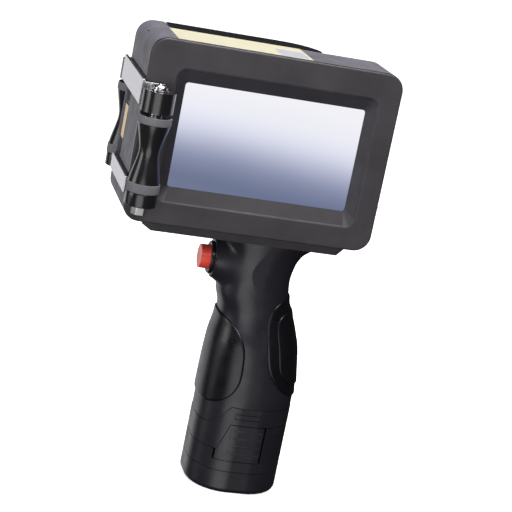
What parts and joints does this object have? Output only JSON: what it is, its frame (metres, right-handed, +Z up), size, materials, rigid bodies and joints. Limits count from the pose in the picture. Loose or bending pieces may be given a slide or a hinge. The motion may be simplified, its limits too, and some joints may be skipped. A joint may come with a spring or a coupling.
{
  "type": "handheld marking printer",
  "caption": "Handheld marking printer with a touch screen head, hourglass guide rollers, a swinging cartridge cover, a red trigger and a pistol grip on a slide-in battery pack.",
  "frame": {"origin": "centre of the flat base of the battery pack", "axes": "+Z up along the grip, -Y towards the person reading the screen, the printing side is -X"},
  "size_m": [0.1396, 0.0995, 0.2429],
  "materials": {
    "dark_moulding": "fine textured charcoal moulding",
    "grey_moulding": "satin charcoal moulding",
    "gloss_black": "polished black moulding",
    "screen_glass": "touch panel with a soft pale blue shine",
    "display_frame": "pressed display frame",
    "grip_moulding": "satin black moulding",
    "grip_rubber": "soft touch rubber",
    "inner_plastic": "plain inner moulding",
    "cartridge_plastic": "black cartridge case",
    "gold_contact": "gold plated",
    "circuit_board": "green circuit board",
    "label_paper": "pale yellow printed label",
    "label_panel": "pale lilac label panel",
    "red_button": "glossy red cap",
    "button_ring": "black button bezel",
    "stainless": "brushed stainless sheet",
    "bright_steel": "bright plated steel",
    "black_screw": "black oxide screw",
    "foam_pad": "black foam tape",
    "roller_black": "turned black plastic",
    "tyre_rubber": "grey rubber ring",
    "cell_wrap": "blue shrink wrap"
  },
  "bodies": {
    "printer": {"front_cover": "dark_moulding", "mid_casing": "dark_moulding", "mount_plate": "dark_moulding", "rear_housing": "grey_moulding", "screen_glass": "screen_glass", "display_module": "display_frame", "grip_front_shell": "grip_moulding", "grip_rear_shell": "grip_moulding", "battery_collar": "grip_moulding", "left_grip_pad": "grip_rubber", "right_grip_pad": "grip_rubber", "right_palm_pad": "grip_rubber", "cartridge_cradle": "inner_plastic", "contact_carrier": "inner_plastic", "trigger_switch": "inner_plastic", "power_housing": "inner_plastic", "ink_cartridge": "cartridge_plastic", "contact_block": "gold_contact", "nozzle_plate": "gold_contact", "carrier_pins": "gold_contact", "board_spacers": "gold_contact", "power_terminals": "gold_contact", "main_board": "circuit_board", "top_label": "label_paper", "label_patch": "label_panel", "trigger_bezel": "button_ring", "upper_bracket": "stainless", "lower_bracket": "stainless", "axle_bolts": "bright_steel", "axle_nuts": "bright_steel", "axle_washers": "bright_steel", "bracket_screws": "bright_steel", "bracket_studs": "bright_steel", "cover_hinge_pin": "bright_steel", "trigger_spring": "bright_steel", "usb_port": "bright_steel", "casing_screws": "black_screw", "neck_screws": "black_screw", "grip_screws": "black_screw", "bracket_pads": "foam_pad", "front_roller_block": "roller_black", "rear_roller_block": "roller_black"},
    "front_roller": {"front_roller": "roller_black", "front_roller_tyres": "tyre_rubber", "front_roller_bearings": "bright_steel"},
    "rear_roller": {"rear_roller": "roller_black", "rear_roller_tyres": "tyre_rubber", "rear_roller_bearings": "bright_steel"},
    "cover": {"cartridge_cover": "gloss_black"},
    "trigger": {"trigger_button": "red_button"},
    "power_key": {"power_rocker": "red_button"},
    "battery": {"battery_shell": "grip_moulding", "battery_base_cap": "grip_moulding", "battery_cells": "cell_wrap", "battery_terminals": "gold_contact", "base_screws": "black_screw"},
    "front_tab": {"front_release_tab": "grip_moulding"},
    "rear_tab": {"rear_release_tab": "grip_moulding"}
  },
  "joints": [
    {"name": "front_roller_spin", "type": "hinge", "parent": "printer", "child": "front_roller", "pos_m": [-0.08315, -0.0385, 0.1815], "axis": [0, 0, 1], "continuous": true},
    {"name": "rear_roller_spin", "type": "hinge", "parent": "printer", "child": "rear_roller", "pos_m": [-0.08315, 0.0439, 0.1815], "axis": [0, 0, 1], "continuous": true},
    {"name": "cartridge_cover_swing", "type": "hinge", "parent": "printer", "child": "cover", "pos_m": [0.0047, 0.0113, 0.1945], "axis": [0, 0, -1], "range_deg": [0, 90]},
    {"name": "trigger_press", "type": "slide", "parent": "printer", "child": "trigger", "axis": [1, 0, 0], "range_m": [0, 0.003], "stiffness_N_per_m": 800, "springref_m": -0.001, "deforming": ["trigger_spring"]},
    {"name": "power_rock", "type": "hinge", "parent": "printer", "child": "power_key", "pos_m": [0.0433, -0.0153, 0.1737], "axis": [0, 1, 0], "range_deg": [0, 22]},
    {"name": "battery_slide", "type": "slide", "parent": "printer", "child": "battery", "axis": [0, 0, -1], "range_m": [0, 0.05]},
    {"name": "front_tab_press", "type": "hinge", "parent": "battery", "child": "front_tab", "pos_m": [0, -0.025, 0.0193], "axis": [-1, 0, 0], "range_deg": [0, 5], "stiffness_Nm_per_rad": 2, "springref_deg": -1.15},
    {"name": "rear_tab_press", "type": "hinge", "parent": "battery", "child": "rear_tab", "pos_m": [0, 0.025, 0.0193], "axis": [1, 0, 0], "range_deg": [0, 5], "stiffness_Nm_per_rad": 2, "springref_deg": -1.15}
  ]
}
